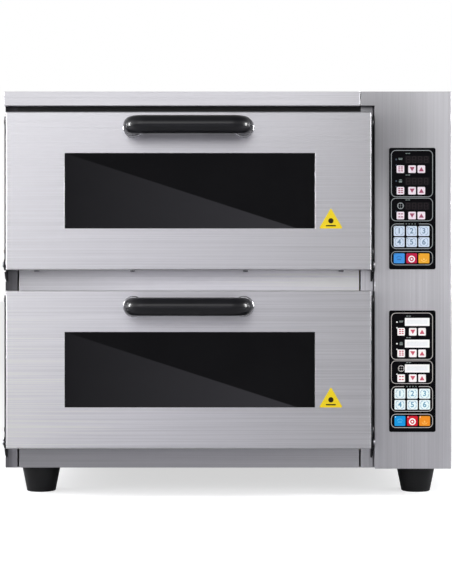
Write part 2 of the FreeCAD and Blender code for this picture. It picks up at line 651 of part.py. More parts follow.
# ---------------------------------------------------------------- doors
ARM_SCREW_RISES = (23.0, DOOR_HEIGHT - 11.5)
BOTTOM_SCREW_REACHES = (-191.0, -71.0, 71.0, 191.0)
BOTTOM_SCREW_Y = DOOR_BACK - 7.0
INNER_FLANGE = 11.0
SCREW_HANDLE_RADIUS = 2.5
COLLAR_HALF_WIDTH, COLLAR_HALF_HEIGHT = 157.0, 49.0


def window_middle(bottom):
    return DECK_X + WINDOW_SHIFT, bottom + DOOR_HEIGHT / 2


def window_plate(bottom, width, height, y0, y1):
    """A rectangular block centred on the window."""
    x, z = window_middle(bottom)
    return box(x - width / 2, x + width / 2, y0, y1, z - height / 2, z + height / 2)


def door_screw_places(bottom):
    """(place, outward) of the screws in a door's hinge arms and bottom edge."""
    places = []
    for side in (-1, 1):
        x = DECK_X + side * ARM_OUTER
        places += [((x, PIVOT_Y, bottom + rise), (side, 0, 0)) for rise in ARM_SCREW_RISES]
    places += [((DECK_X + reach, BOTTOM_SCREW_Y, bottom), (0, 0, -1)) for reach in BOTTOM_SCREW_REACHES]
    return places


def door_screw_holes(bottom):
    return [shank_hole(p, o) for p, o in door_screw_places(bottom)]


def pin_holes(bottom, radius):
    return [cylinder(radius, DOOR_WIDTH + 60, (DECK_X - DOOR_WIDTH / 2 - 30, PIVOT_Y, bottom + PIVOT_RISE),
                     (1, 0, 0))]


def handle_holes(bottom, radius):
    return [cylinder(radius, 40, (DECK_X + side * HANDLE_REACH, DOOR_FRONT - 14, bottom + HANDLE_RISE),
                     (0, 1, 0)) for side in (-1, 1)]


def door_shell(bottom):
    """The outer door skin: a tray with rounded front edges and the window cut out."""
    half = DOOR_WIDTH / 2
    x0, x1 = DECK_X - half, DECK_X + half
    back = DOOR_BACK - 1.5
    block = box(x0, x1, DOOR_FRONT, back, bottom, bottom + DOOR_HEIGHT)
    front = [e for e in block.Edges if e.BoundBox.YMax < DOOR_FRONT + 0.01]
    block = block.makeFillet(1.6, front)
    inside = box(x0 + SHEET, x1 - SHEET, DOOR_FRONT + DOOR_SHEET, back + 1,
                 bottom + SHEET, bottom + DOOR_HEIGHT - SHEET)
    opening = window_plate(bottom, WINDOW_WIDTH, WINDOW_HEIGHT, DOOR_FRONT - 1, DOOR_FRONT + 3)
    tools = [inside, opening] + door_screw_holes(bottom) + pin_holes(bottom, PIN_RADIUS + 0.6)
    return cut(block, tools + handle_holes(bottom, SCREW_HANDLE_RADIUS))


def door_inner_panel(bottom):
    """The inner skin: a pan inside the shell's flanges, with a collar round the window."""
    half = DOOR_WIDTH / 2 - SHEET - 0.1
    x0, x1 = DECK_X - half, DECK_X + half
    z0, z1 = bottom + SHEET + 0.1, bottom + DOOR_HEIGHT - SHEET - 0.1
    sheet = box(x0, x1, DOOR_BACK - SHEET, DOOR_BACK, z0, z1)
    flange_front = DOOR_BACK - SHEET - INNER_FLANGE
    rims = [box(x0, x1, flange_front, DOOR_BACK - SHEET, z0, z0 + SHEET),
            box(x0, x1, flange_front, DOOR_BACK - SHEET, z1 - SHEET, z1)]
    collar = window_plate(bottom, 2 * COLLAR_HALF_WIDTH + 2, 2 * COLLAR_HALF_HEIGHT + 2,
                          DOOR_FRONT + DOOR_SHEET + GLASS, DOOR_BACK - SHEET)
    hollow = window_plate(bottom, 2 * COLLAR_HALF_WIDTH, 2 * COLLAR_HALF_HEIGHT,
                          DOOR_FRONT, DOOR_BACK - SHEET)
    lip = window_plate(bottom, WINDOW_WIDTH - 10, WINDOW_HEIGHT - 10, DOOR_FRONT, DOOR_BACK + 1)
    pan = cut(joined([sheet] + rims + [collar]), [hollow, lip])
    return cut(pan, door_screw_holes(bottom))


def door_outer_glass(bottom):
    front = DOOR_FRONT + DOOR_SHEET
    return window_plate(bottom, WINDOW_WIDTH + 20, WINDOW_HEIGHT + 20, front, front + GLASS)


def door_inner_glass(bottom):
    back = DOOR_BACK - SHEET
    width, height = 2 * COLLAR_HALF_WIDTH - 0.4, 2 * COLLAR_HALF_HEIGHT - 0.4
    return window_plate(bottom, width, height, back - GLASS, back)


def door_gasket(bottom):
    """A flat woven seal on the inner panel, round the chamber's mouth."""
    z = chamber_floor(bottom) + CHAMBER_HEIGHT / 2
    back = FRAME_FRONT - 0.3
    outer = rounded_plate(DECK_X - 217, DECK_X + 217, z - 87, z + 87, DOOR_BACK, back, 14)
    inner = rounded_plate(DECK_X - 208, DECK_X + 208, z - 78, z + 78, DOOR_BACK - 1, back + 1, 5)
    return cut(outer, [inner])


def door_handle(bottom):
    """A round bow handle: two short legs, two bends and a straight bar."""
    z = bottom + HANDLE_RISE
    face, axis = DOOR_FRONT - FLANGE_HEIGHT, DOOR_FRONT - HANDLE_STANDOFF
    left, right = DECK_X - HANDLE_REACH, DECK_X + HANDLE_REACH
    bend, off = HANDLE_BEND, HANDLE_BEND * (1 - math.sqrt(0.5))
    path = [line((left, face, z), (left, axis + bend, z)),
            arc((left, axis + bend, z), (left + off, axis + off, z), (left + bend, axis, z)),
            line((left + bend, axis, z), (right - bend, axis, z)),
            arc((right - bend, axis, z), (right - off, axis + off, z), (right, axis + bend, z)),
            line((right, axis + bend, z), (right, face, z))]
    bar = swept_round(HANDLE_RADIUS, path, (left, face, z), (0, -1, 0))
    return cut(bar, handle_holes(bottom, SCREW_HANDLE_RADIUS))


def handle_flange(bottom, side):
    """A bright metal cup between a handle leg and the door."""
    place = (DECK_X + side * HANDLE_REACH, DOOR_FRONT, bottom + HANDLE_RISE)
    disc = cylinder(FLANGE_RADIUS, FLANGE_HEIGHT, place, (0, -1, 0))
    rim = [e for e in disc.Edges if e.Closed and e.BoundBox.YMax < DOOR_FRONT - 1]
    disc = disc.makeFillet(2.0, rim[:1])
    return cut(disc, handle_holes(bottom, SCREW_HANDLE_RADIUS))


def hinge_arm(bottom, side):
    """The steel plate down a door's side, with the bore that the hinge pin runs in."""
    x0, x1 = along_x(side, ARM_INNER, ARM_OUTER)
    plate = box(x0, x1, DOOR_FRONT + ARM_SETBACK, DOOR_BACK - 3, bottom + 1, bottom + DOOR_HEIGHT - 6)
    return cut(plate, pin_holes(bottom, PIN_RADIUS + PIN_CLEARANCE) + door_screw_holes(bottom))


def door_screws(bottom):
    """A door's screws: hinge arms, bottom edge, and the two that hold the handle from inside."""
    screws = [pan_screw(p, o, head_radius=3.2, head_height=2.2) for p, o in door_screw_places(bottom)]
    for side in (-1, 1):
        place = (DECK_X + side * HANDLE_REACH, DOOR_FRONT + DOOR_SHEET, bottom + HANDLE_RISE)
        head = cylinder(4.5, 3, place, (0, 1, 0))
        shank = cylinder(SCREW_HANDLE_RADIUS, DOOR_SHEET + FLANGE_HEIGHT + 8, place, (0, -1, 0))
        screws.append(joined([head, shank]))
    return group(screws)


def door_label(bottom):
    """A thin triangular sticker with round corners, right of the window."""
    lean = math.atan2(LABEL_HEIGHT, LABEL_WIDTH / 2)
    half = LABEL_WIDTH / 2 + LABEL_CORNER * (1 / math.tan(lean / 2) - 1)
    tall = LABEL_HEIGHT + LABEL_CORNER * (1 / math.cos(lean) - 1)
    z = bottom + LABEL_RISE
    y = DOOR_FRONT - LABEL_THICK
    corners = [V(DECK_X + LABEL_X + dx, y, z + dz) for dx, dz in ((-half, 0), (half, 0), (0, tall))]
    prism = Part.Face(Part.makePolygon(corners + corners[:1])).extrude(V(0, LABEL_THICK, 0))
    upright = [e for e in prism.Edges if abs(e.tangentAt(e.FirstParameter).y) > 0.99]
    return prism.makeFillet(LABEL_CORNER, upright)


# ---------------------------------------------------------------- the assembly
def build():
    os.makedirs("parts", exist_ok=True)
    upper, lower = DOOR_BOTTOMS["upper"], DOOR_BOTTOMS["lower"]
    sides = (-1, 1)
    save("base_plate", base_plate())
    save("left_side_panel", side_panel(BODY_LEFT, FRAME_BACK, []))
    save("right_side_panel", side_panel(BODY_RIGHT - SHEET, COLUMN_BACK, compartment_slots()))
    save("top_cover", top_cover())
    save("back_panel", back_panel())
    save("compartment_partition", partition())
    save("front_top_rail", top_rail())
    save("front_header", header())
    save("front_middle_rail", front_rail(chamber_ceiling(lower), chamber_floor(upper),
                                         chamber_ceiling(lower) + 13, chamber_floor(upper) - 13))
    save("front_bottom_rail", front_rail(BASE, chamber_floor(lower), BASE + 1.2, chamber_floor(lower) - 13))
    save("left_front_post", front_post(-1))
    save("right_front_post", front_post(1))
    save("control_column_front", column_front())
    save("insulation_blankets", insulation())
    save("stone_ledges", group([stone_ledge(b, s) for b in (upper, lower) for s in sides]))
    save("temperature_probes", group([temperature_probe(z)
                                      for b in (upper, lower) for z in probe_levels(b)]))
    save("lamp_glasses", group([lamp_glass(b) for b in (upper, lower)]))
    save("lamp_bulbs", group([lamp_bulb(b) for b in (upper, lower)]))
    save("feet", group([foot(x, y) for x in FOOT_XS for y in FOOT_YS]))
    save("foot_screws", group([foot_screw(x, y) for x in FOOT_XS for y in FOOT_YS]))
    save("power_relays", group([power_relay(y, z) for y in (-60.0, 20.0) for z in RELAY_LEVELS]))
    save("terminal_block", terminal_block())
    save("limit_thermostats", group([limit_thermostat(z) for z in THERMOSTAT_LEVELS]))
    save("cable_gland", cable_gland())
    save("wiring_loom", wiring_loom())
    save("casing_screws", group([pan_screw(p, o) for p, o in SCREW_PLACES]))
    save("hinge_brackets", group([hinge_bracket(b, s) for b in (upper, lower) for s in sides]))
    save("hinge_pins", group([hinge_pin(b, s) for b in (upper, lower) for s in sides]))
    for deck, bottom in DOOR_BOTTOMS.items():
        save(f"{deck}_chamber_liner", chamber_liner(bottom))
        save(f"{deck}_deck_stone", deck_stone(bottom))
        save(f"{deck}_heating_elements", group([heating_element(z) for z in element_levels(bottom)]))
        save(f"{deck}_keypad_overlay", keypad_overlay(PANEL_MIDDLES[deck]))
        save(f"{deck}_control_board", control_board(PANEL_MIDDLES[deck]))
        save(f"{deck}_hinge_springs", group([hinge_spring(bottom, s) for s in sides]))
        save(f"{deck}_door_shell", door_shell(bottom))
        save(f"{deck}_door_inner_panel", door_inner_panel(bottom))
        save(f"{deck}_door_outer_glass", door_outer_glass(bottom))
        save(f"{deck}_door_inner_glass", door_inner_glass(bottom))
        save(f"{deck}_door_gasket", door_gasket(bottom))
        save(f"{deck}_door_handle", door_handle(bottom))
        save(f"{deck}_door_handle_flanges", group([handle_flange(bottom, s) for s in sides]))
        save(f"{deck}_door_hinge_arms", group([hinge_arm(bottom, s) for s in sides]))
        save(f"{deck}_door_screws", door_screws(bottom))
        save(f"{deck}_door_label", door_label(bottom))


build()
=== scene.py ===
# Looks for the double-deck countertop pizza oven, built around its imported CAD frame.
import json
import math

import bmesh
import bpy
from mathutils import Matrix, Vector


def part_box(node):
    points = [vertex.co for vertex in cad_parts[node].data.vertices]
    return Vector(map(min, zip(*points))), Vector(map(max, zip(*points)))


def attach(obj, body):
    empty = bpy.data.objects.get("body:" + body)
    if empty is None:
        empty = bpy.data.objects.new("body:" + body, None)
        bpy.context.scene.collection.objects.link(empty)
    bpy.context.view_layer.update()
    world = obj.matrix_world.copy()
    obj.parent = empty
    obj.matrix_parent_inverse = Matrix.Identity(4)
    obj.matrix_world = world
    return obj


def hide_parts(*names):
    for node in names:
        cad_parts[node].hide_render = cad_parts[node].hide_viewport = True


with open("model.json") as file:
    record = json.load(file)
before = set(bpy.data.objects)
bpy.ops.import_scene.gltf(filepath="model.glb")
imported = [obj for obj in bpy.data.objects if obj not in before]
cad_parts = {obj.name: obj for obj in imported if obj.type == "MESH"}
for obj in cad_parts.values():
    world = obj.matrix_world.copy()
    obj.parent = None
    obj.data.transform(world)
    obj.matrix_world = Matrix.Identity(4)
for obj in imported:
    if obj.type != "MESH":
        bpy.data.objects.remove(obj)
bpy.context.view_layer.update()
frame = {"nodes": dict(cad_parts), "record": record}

MM = 0.001
DECKS = ("upper", "lower")


# ---------------------------------------------------------------- camera
# The view is square to the front, at half the oven's height.
VIEW_DISTANCE = 2.0             # from the control column's face, in metres like every place below
VIEW_X, VIEW_Z = -0.002, 0.2554
LENS_MM = 98.4


def add_camera():
    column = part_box("control_column_front")[0].y
    camera = bpy.data.objects.new("camera", bpy.data.cameras.new("camera"))
    camera.data.lens = LENS_MM
    camera.location = (VIEW_X, column - VIEW_DISTANCE, VIEW_Z)
    camera.rotation_euler = (math.radians(90), 0, 0)
    bpy.context.collection.objects.link(camera)
    bpy.context.scene.camera = camera
    return camera


# ---------------------------------------------------------------- node helpers
def srgb(r, g, b):
    """A colour given as 0-255 display values, in linear light."""
    def linear(c):
        c /= 255
        return c / 12.92 if c <= 0.04045 else ((c + 0.055) / 1.055) ** 2.4
    return (linear(r), linear(g), linear(b), 1.0)


def cleared(block):
    """The empty node tree of a new material or world."""
    block.use_nodes = True
    block.node_tree.nodes.clear()
    return block.node_tree


def node_of(tree, kind, **values):
    """A new node. Each value is for the input of that name or, where it has none, the property."""
    node = tree.nodes.new(kind)
    for name, value in values.items():
        if name in node.inputs:
            node.inputs[name].default_value = value
        else:
            setattr(node, name, value)
    return node


def coordinates(tree, scale, turn=(0, 0, 0)):
    """The piece's own coordinates, in metres, scaled and turned."""
    place = node_of(tree, "ShaderNodeTexCoord")
    mapping = node_of(tree, "ShaderNodeMapping")
    mapping.inputs["Scale"].default_value = scale
    mapping.inputs["Rotation"].default_value = turn
    tree.links.new(place.outputs["Object"], mapping.inputs["Vector"])
    return mapping.outputs["Vector"]


def noise(tree, vector, detail=3.0, rough=0.55):
    node = node_of(tree, "ShaderNodeTexNoise", Scale=1.0, Detail=detail, Roughness=rough)
    tree.links.new(vector, node.inputs["Vector"])
    return node.outputs["Fac"]


def ranged(tree, value, low, high, start=0.3, stop=0.7):
    """A value between start and stop, spread to run from low to high."""
    node = node_of(tree, "ShaderNodeMapRange")
    for name, number in (("From Min", start), ("From Max", stop), ("To Min", low), ("To Max", high)):
        node.inputs[name].default_value = number
    tree.links.new(value, node.inputs["Value"])
    return node.outputs["Result"]


def mixed(tree, factor, a, b):
    """Two colours mixed by a factor. Each is a plain colour or another node's output."""
    node = node_of(tree, "ShaderNodeMix", data_type="RGBA")
    tree.links.new(factor, node.inputs["Factor"])
    for socket, colour in ((node.inputs[6], a), (node.inputs[7], b)):
        if isinstance(colour, tuple):
            socket.default_value = colour
        else:
            tree.links.new(colour, socket)
    return node.outputs[2]


def shade(colour, factor):
    return tuple(min(1.0, c * factor) for c in colour[:3]) + (1.0,)


def bump(tree, height, distance, strength=0.3, edge=0.0):
    """A rough surface's normal. edge is the radius that rounds the piece's sharp edges."""
    node = node_of(tree, "ShaderNodeBump", Distance=distance, Strength=strength)
    tree.links.new(height, node.inputs["Height"])
    if edge:
        rounding = node_of(tree, "ShaderNodeBevel", samples=4, Radius=edge)
        tree.links.new(rounding.outputs[0], node.inputs["Normal"])
    return node.outputs["Normal"]


def blank(name, **sockets):
    """A new material, its tree and its shader, with the given sockets set."""
    material = bpy.data.materials.new(name)
    material.use_nodes = True
    tree = material.node_tree
    shader = tree.nodes["Principled BSDF"]
    for socket, value in sockets.items():
        shader.inputs[socket.replace("_", " ")].default_value = value
    return material, tree, shader


# ---------------------------------------------------------------- materials
FOLD = 0.6 * MM                 # how far a folded or cut sheet edge is rounded
DOOR_FOLD = 1.4 * MM            # the width of the doors' round front edges
EDGE_PAINTED_SHADE, EDGE_PAINTED_HIGHLIGHT = 0.18, 1.3          # painted shade at the doors' side edges, dimming their highlight, and a painted highlight along their bottom edges
# Directions along the scratches. They lean a little, so that none is a flat face's normal.
GRAINS = {"X": (1, 0.013, 0.017), "Y": (0.013, 1, 0.017), "Z": (0.013, 0.017, 1)}
SCRATCH_SCALES = ((4, 780), (2.5, 340), (0.8, 60))      # of each layer, along and across the scratches
SCRATCH_WEIGHTS = (0.66, 0.3, 0.04)


def across_grain(tree, grain):
    """The direction in the surface that lies across the scratches, for stretched highlights."""
    line = node_of(tree, "ShaderNodeVectorTransform", vector_type="VECTOR", convert_from="OBJECT",
                   convert_to="WORLD")
    line.inputs[0].default_value = GRAINS[grain]
    cross = node_of(tree, "ShaderNodeVectorMath", operation="CROSS_PRODUCT")
    tree.links.new(node_of(tree, "ShaderNodeNewGeometry").outputs["Normal"], cross.inputs[0])
    tree.links.new(line.outputs[0], cross.inputs[1])
    return cross.outputs[0]


def weighed(tree, values, weights):
    """The sum of some values, each times its weight."""
    total = None
    for value, weight in zip(values, weights):
        part = node_of(tree, "ShaderNodeMath", operation="MULTIPLY_ADD")
        part.inputs[1].default_value = weight
        part.inputs[2].default_value = 0
        tree.links.new(value, part.inputs[0])
        if total is not None:
            tree.links.new(total, part.inputs[2])
        total = part.outputs[0]
    return total


def scaled(tree, tone, level):
    """A colour times a level."""
    node = node_of(tree, "ShaderNodeVectorMath", operation="SCALE")
    tree.links.new(tone, node.inputs[0])
    tree.links.new(level, node.inputs["Scale"])
    return node.outputs[0]


def painted_shade_level(tree, middle, reach, low):
    """A level that is low at a point and rises smoothly to 1 at the given reach along each axis."""
    vector = coordinates(tree, (1, 1, 1))
    for operation, values in (("SUBTRACT", middle), ("DIVIDE", reach)):
        node = node_of(tree, "ShaderNodeVectorMath", operation=operation)
        node.inputs[1].default_value = values
        tree.links.new(vector, node.inputs[0])
        vector = node.outputs[0]
    distance = node_of(tree, "ShaderNodeVectorMath", operation="LENGTH")
    tree.links.new(vector, distance.inputs[0])
    rise = node_of(tree, "ShaderNodeMapRange", interpolation_type="SMOOTHSTEP")
    rise.inputs["To Min"].default_value = low
    tree.links.new(distance.outputs["Value"], rise.inputs["Value"])
    return rise.outputs["Result"]


def brushed_steel(name, colour, grain, roughness=0.36, swing=0.07, painted_light_fades=(), stretch=0.65, painted_shade_pool=None):
    """Sheet with fine parallel scratches. grain is the axis that the scratches run along.

    Each fade paints light or shade into its colour along an axis: (axis, from, to, shade at from, shade at
    to), in metres.
    The pool paints shade into its colour round a point: (point, reach along each axis, shade at the point),
    in metres.
    """
    material, tree, shader = blank(name, Metallic=1.0, Anisotropic=stretch)
    tree.links.new(across_grain(tree, grain), shader.inputs["Tangent"])
    layers = []
    for along, across in SCRATCH_SCALES:
        scale = [across] * 3
        scale["XYZ".index(grain)] = along
        layers.append(noise(tree, coordinates(tree, tuple(scale)), detail=3))
    scratches = ranged(tree, weighed(tree, layers, SCRATCH_WEIGHTS), 0, 1, 0.4, 0.6)
    tone = mixed(tree, scratches, shade(colour, 1 - swing), shade(colour, 1 + swing))
    # Painted light and shade: each fade scales the colour along an axis.
    for axis, start, stop, low, high in painted_light_fades:
        place = node_of(tree, "ShaderNodeSeparateXYZ")
        tree.links.new(coordinates(tree, (1, 1, 1)), place.inputs[0])
        tone = scaled(tree, tone, ranged(tree, place.outputs[axis], low, high, start, stop))
    # Painted shade round one point.
    if painted_shade_pool:
        tone = scaled(tree, tone, painted_shade_level(tree, *painted_shade_pool))
    tree.links.new(tone, shader.inputs["Base Color"])
    dullness = ranged(tree, scratches, roughness - 0.05, roughness + 0.05, 0, 1)
    tree.links.new(dullness, shader.inputs["Roughness"])
    tree.links.new(bump(tree, layers[0], 0.00002, edge=FOLD), shader.inputs["Normal"])
    return material


def mottled(name, dark, light, roughness, size=60.0, metallic=0.0, depth=0.0001, rough_swing=0.06):
    """A surface of two close tones in soft patches, with matching roughness and relief."""
    material, tree, shader = blank(name, Metallic=metallic)
    patches = noise(tree, coordinates(tree, (size,) * 3), detail=5, rough=0.6)
    tree.links.new(mixed(tree, ranged(tree, patches, 0, 1), dark, light), shader.inputs["Base Color"])
    tree.links.new(ranged(tree, patches, roughness - rough_swing, roughness + rough_swing),
                   shader.inputs["Roughness"])
    tree.links.new(bump(tree, patches, depth), shader.inputs["Normal"])
    return material


def glossy_black(name, colour, roughness):
    """Hard moulding: a deep gloss with the faintest flow marks."""
    material, tree, shader = blank(name, Coat_Weight=0.5, Coat_Roughness=0.05, Specular_IOR_Level=0.3)
    flow = noise(tree, coordinates(tree, (35, 35, 35)), detail=3)
    tree.links.new(mixed(tree, ranged(tree, flow, 0, 1), shade(colour, 0.8), shade(colour, 1.25)),
                   shader.inputs["Base Color"])
    tree.links.new(ranged(tree, flow, roughness - 0.03, roughness + 0.03), shader.inputs["Roughness"])
    tree.links.new(bump(tree, flow, 0.00003, 0.1), shader.inputs["Normal"])
    return material


def dark_glass(name):
    """Tinted toughened glass: near black, polished, with a trace of smear."""
    material, tree, shader = blank(name, IOR=1.5, Specular_IOR_Level=0.3)
    smear = noise(tree, coordinates(tree, (14, 14, 22)), detail=4)
    tree.links.new(mixed(tree, ranged(tree, smear, 0, 1), srgb(8, 8, 9), srgb(12, 12, 13)),
                   shader.inputs["Base Color"])
    tree.links.new(ranged(tree, smear, 0.004, 0.016), shader.inputs["Roughness"])
    return material


def clear_glass(name):
    material, tree, shader = blank(name, IOR=1.5, Transmission_Weight=0.9)
    smear = noise(tree, coordinates(tree, (20, 20, 20)), detail=4)
    tree.links.new(mixed(tree, ranged(tree, smear, 0, 1), srgb(198, 208, 204), srgb(226, 232, 229)),
                   shader.inputs["Base Color"])
    tree.links.new(ranged(tree, smear, 0.02, 0.09), shader.inputs["Roughness"])
    return material


def baking_stone(name):
    """Fired stone: pale buff, fine dark grit, and soft toasted patches."""
    material, tree, shader = blank(name, Roughness=0.88)
    grit = noise(tree, coordinates(tree, (900,) * 3), detail=2, rough=0.7)
    toast = noise(tree, coordinates(tree, (9,) * 3), detail=4)
    body = mixed(tree, ranged(tree, grit, 0, 1, 0.35, 0.6), srgb(176, 160, 134), srgb(219, 206, 182))
    patch = mixed(tree, ranged(tree, toast, 0, 0.5, 0.5, 0.75), body, srgb(128, 104, 78))
    tree.links.new(patch, shader.inputs["Base Color"])
    tree.links.new(bump(tree, grit, 0.0003, 0.5), shader.inputs["Normal"])
    return material


def woven(name, dark, light, pitch, roughness=0.9):
    """Crossed threads, from two sets of waves at right angles."""
    material, tree, shader = blank(name, Roughness=roughness)
    place = coordinates(tree, (1, 1, 1), (0, math.radians(45), 0))
    waves = []
    for direction in ("X", "Z"):
        wave = node_of(tree, "ShaderNodeTexWave", bands_direction=direction, Scale=1 / pitch / 6.3)
        tree.links.new(place, wave.inputs["Vector"])
        waves.append(wave.outputs["Fac"])
    cross = node_of(tree, "ShaderNodeMath", operation="MULTIPLY")
    tree.links.new(waves[0], cross.inputs[0])
    tree.links.new(waves[1], cross.inputs[1])
    tree.links.new(mixed(tree, cross.outputs[0], dark, light), shader.inputs["Base Color"])
    tree.links.new(bump(tree, cross.outputs[0], pitch / 3, 0.8), shader.inputs["Normal"])
    return material


def printed(name, colour, roughness=0.42, gloss=0.12):
    """Ink under a satin film: an even colour with a slight print mottle."""
    material, tree, shader = blank(name, Specular_IOR_Level=gloss)
    dots = noise(tree, coordinates(tree, (700,) * 3), detail=2)
    tree.links.new(mixed(tree, ranged(tree, dots, 0, 1), shade(colour, 0.95), shade(colour, 1.04)),
                   shader.inputs["Base Color"])
    tree.links.new(ranged(tree, dots, roughness - 0.03, roughness + 0.03), shader.inputs["Roughness"])
    return material


STEEL = srgb(231, 230, 235)
# Painted shade: the column's colour is darkened beside the upper door, where it faces the door's dark edge.
COLUMN_PAINTED_SHADE = ((0.1845, 0, 0.44), (0.11, 100, 0.115), 0.54)


def make_materials():
    """One material for each of the record's slots."""
    return {
        # Painted light: the front steel is brighter towards the bottom and darker towards the right.
        "front_steel": brushed_steel("steel_brushed_across", STEEL, "X",
                                     painted_light_fades=(("Z", 0.08, 0.44, 1.12, 1.02), ("X", -0.1, 0.18, 1.0, 0.92))),
        # Painted light and shade: the column is darker on its left and high up, brighter low down, with
        # painted shade beside the upper door.
        "column_steel": brushed_steel("steel_brushed_upright", srgb(228, 227, 232), "Z", 0.4, 0.05,
                                      (("X", 0.19, 0.26, 0.72, 0.84), ("Z", 0.05, 0.3, 1.28, 1.2),
                                       ("Z", 0.27, 0.34, 1.0, 0.9), ("Z", 0.3, 0.49, 1.0, 0.8)), 0.7,
                                      COLUMN_PAINTED_SHADE),
        "casing_steel": brushed_steel("steel_brushed_deep", srgb(226, 225, 230), "Y"),
        "zinc_steel": mottled("zinc_sheet", srgb(200, 202, 205), srgb(212, 214, 217), 0.42, 38, metallic=1.0,
                              rough_swing=0.02),
        # Painted shade: this near-black colour stands in for the shadow in the gap above the upper door.
        "dark_steel": mottled("painted_shade_black", srgb(7, 7, 7), srgb(12, 12, 12), 0.6, 500),
        "chamber_steel": brushed_steel("steel_chamber", srgb(190, 187, 182), "X", 0.42, 0.08),
        # A near-black plate for the hinge arms and brackets.
        "hinge_steel": mottled("dark_hinge_plate", srgb(30, 30, 33), srgb(44, 44, 47), 0.45, 260, 0.7,
                               0.00003),
        "fastener_steel": mottled("zinc_fastener", srgb(190, 191, 194), srgb(215, 216, 218), 0.3, 700, 1.0,
                                  0.00003),
        "spring_steel": mottled("spring_wire", srgb(120, 120, 124), srgb(150, 150, 154), 0.35, 900, 1.0,
                                0.00003),
        "element_sheath": mottled("element_sheath", srgb(48, 44, 42), srgb(92, 84, 78), 0.55, 120, 0.8),
        "bright_chrome": mottled("chrome", srgb(186, 186, 190), srgb(204, 204, 208), 0.1, 200, 1.0,
                                 0.00001, 0.03),
        "handle_black": glossy_black("handle_moulding", srgb(13, 13, 18), 0.34),
        "dark_glass": dark_glass("window_tinted"),
        "clear_glass": clear_glass("glass_clear"),
        "baking_stone": baking_stone("stone_cordierite"),
        "mineral_wool": mottled("mineral_wool", srgb(176, 158, 108), srgb(214, 200, 150), 0.95, 90,
                                depth=0.003),
        "woven_seal": woven("glass_fibre_weave", srgb(120, 112, 100), srgb(196, 188, 172), 0.0022),
        "keypad_film": printed("keypad_film", srgb(7, 7, 10), 0.45, 0.05),
        "circuit_board": mottled("board", srgb(14, 66, 34), srgb(24, 92, 48), 0.4, 150, depth=0.00005),
        "black_plastic": mottled("plastic_black", srgb(22, 22, 23), srgb(34, 34, 35), 0.5, 300,
                                 depth=0.00005),
        "white_plastic": mottled("plastic_white", srgb(206, 204, 196), srgb(226, 224, 218), 0.5, 300,
                                 depth=0.00005),
        "loom_sleeve": woven("braided_sleeve", srgb(12, 12, 12), srgb(44, 44, 44), 0.0016, 0.6),
        "foot_rubber": mottled("rubber", srgb(9, 9, 11), srgb(18, 18, 20), 0.38, 350, depth=0.0001),
        "lamp_ceramic": mottled("lamp_ceramic", srgb(216, 212, 202), srgb(234, 231, 224), 0.25, 80,
                                depth=0.00004),
        "label_vinyl": printed("label_yellow", srgb(236, 208, 38)),
    }


def steel_with_painted_light():
    """(colour, grain, fades) of the sheets that the light doesn't fall on evenly. Their colours and fades
    are painted light and shade.
    """
    low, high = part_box("front_middle_rail")
    left, inner, right = low.x, low.x + 0.15, high.x
    looks = {
        # Painted light and shade: the bottom rail and left post get darker colours and the right post a
        # lighter one, and the fades brighten or darken each sheet along an axis.
        "top_cover": (srgb(228, 227, 232), "X", ()),
        "front_top_rail": (STEEL, "X", (("X", left, right, 0.92, 1.08),)),
        "front_middle_rail": (STEEL, "X", (("X", left, inner, 0.73, 1.07), ("X", inner, right, 1.0, 1.2))),
        "front_bottom_rail": (srgb(184, 183, 188), "X", (("X", left, right, 0.88, 1.28),)),
        "left_front_post": (srgb(138, 137, 142), "Z",
                            (("X", -0.281, -0.267, 0.45, 1.1), ("Z", 0.06, 0.25, 1.35, 0.55),
                             ("Z", 0.35, 0.46, 1.0, 0.2))),
        "right_front_post": (srgb(214, 213, 218), "Z",
                             (("X", 0.168, 0.184, 1.05, 0.85), ("Z", 0.06, 0.25, 1.0, 1.25),
                              ("Z", 0.35, 0.46, 1.0, 0.35))),
        "upper_door_shell": (STEEL, "X", (("X", -0.27, 0.18, 1.03, 0.9), ("Z", 0.3, 0.46, 1.06, 1.0))),
        "lower_door_shell": (STEEL, "X", (("X", -0.27, 0.18, 1.1, 0.86), ("Z", 0.08, 0.44, 1.12, 1.02))),
    }
    # The doors' round edges get painted shade at the sides, which dims their highlight, and a painted
    # highlight at the bottom.
    for deck in DECKS:
        node = f"{deck}_door_shell"
        low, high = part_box(node)
        colour, grain, painted_light_fades = looks[node]
        looks[node] = (colour, grain, painted_light_fades + (("X", low.x, low.x + DOOR_FOLD, EDGE_PAINTED_SHADE, 1.0),
                                               ("X", high.x - DOOR_FOLD, high.x, 1.0, EDGE_PAINTED_SHADE),
                                               ("Z", low.z, low.z + DOOR_FOLD, EDGE_PAINTED_HIGHLIGHT, 1.0)))
    return looks


def dress(node, material):
    for slot in frame["nodes"][node].material_slots:
        slot.material = material


def dress_cad(materials):
    """Gives each CAD node its slot's material, and some nodes one of their own: darker screws and pins, and
    steel with painted light and shade.
    """
    for part in frame["record"]["subparts"]:
        dress(part["node"], materials[part["material_slot"]])
    # The hinge pins and door screws get a darker grey than the other fasteners.
    screws = mottled("dark_screw", srgb(120, 120, 124), srgb(140, 140, 144), 0.45, 700, 0.7, 0.00003)
    for node in ("hinge_pins", "upper_door_screws", "lower_door_screws"):
        dress(node, screws)
    for node, (colour, grain, painted_light_fades) in steel_with_painted_light().items():
        dress(node, brushed_steel(f"steel_{node}", colour, grain, painted_light_fades=painted_light_fades))


